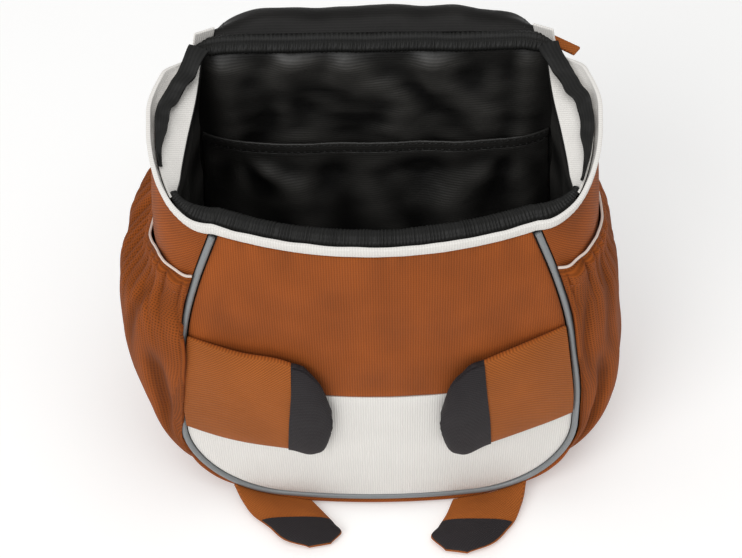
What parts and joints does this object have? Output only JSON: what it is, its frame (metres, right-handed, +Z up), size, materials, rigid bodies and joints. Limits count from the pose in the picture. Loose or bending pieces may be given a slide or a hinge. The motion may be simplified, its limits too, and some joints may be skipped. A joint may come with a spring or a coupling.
{
  "type": "kids backpack",
  "caption": "Small soft child's backpack standing open with its lid thrown back: side pockets, a lined gathered mouth, and padded flaps shaped like arms and feet.",
  "frame": {"origin": "on the floor, in the middle of the bounding box", "axes": "+X to the viewer's right when looking at the front, -Y the way the front faces, +Z up"},
  "size_m": [0.29, 0.2224, 0.2595],
  "materials": {
    "shell_brown": "woven polyester, matt",
    "white_cloth": "woven polyester, matt",
    "black_channel": "gathered nylon, soft sheen",
    "black_lining": "lining nylon, soft sheen",
    "black_patch": "brushed cloth, matt",
    "grey_piping": "reflective piping, satin",
    "black_webbing": "woven webbing, matt",
    "black_plastic": "moulded, satin"
  },
  "bodies": {
    "root": {"front_upper": "shell_brown", "front_belly": "white_cloth", "side_left": "shell_brown", "side_right": "shell_brown", "base": "shell_brown", "back_panel": "shell_brown", "front_piping": "grey_piping", "rim_band": "white_cloth", "channel_front": "black_channel", "channel_left": "black_channel", "channel_right": "black_channel", "channel_back": "black_channel", "collar_left": "white_cloth", "collar_right": "white_cloth", "lining_front": "black_lining", "lining_back": "black_lining", "lining_left": "black_lining", "lining_right": "black_lining", "lining_base": "black_lining", "inner_pocket": "black_lining", "inner_pocket_hem": "black_lining", "pocket_left": "shell_brown", "pocket_hem_left": "white_cloth", "pocket_right": "shell_brown", "pocket_hem_right": "white_cloth", "arm_left": "shell_brown", "paw_left": "black_patch", "arm_right": "shell_brown", "paw_right": "black_patch", "foot_left": "shell_brown", "toe_left": "black_patch", "foot_right": "shell_brown", "toe_right": "black_patch", "lid_lining": "black_lining", "lid_cover": "shell_brown", "lid_corner_left": "white_cloth", "lid_corner_right": "white_cloth", "side_tab": "shell_brown", "strap_left": "shell_brown", "webbing_left": "black_webbing", "adjuster_left": "black_plastic", "strap_right": "shell_brown", "webbing_right": "black_webbing", "adjuster_right": "black_plastic", "grab_loop": "shell_brown"}
  },
  "joints": []
}
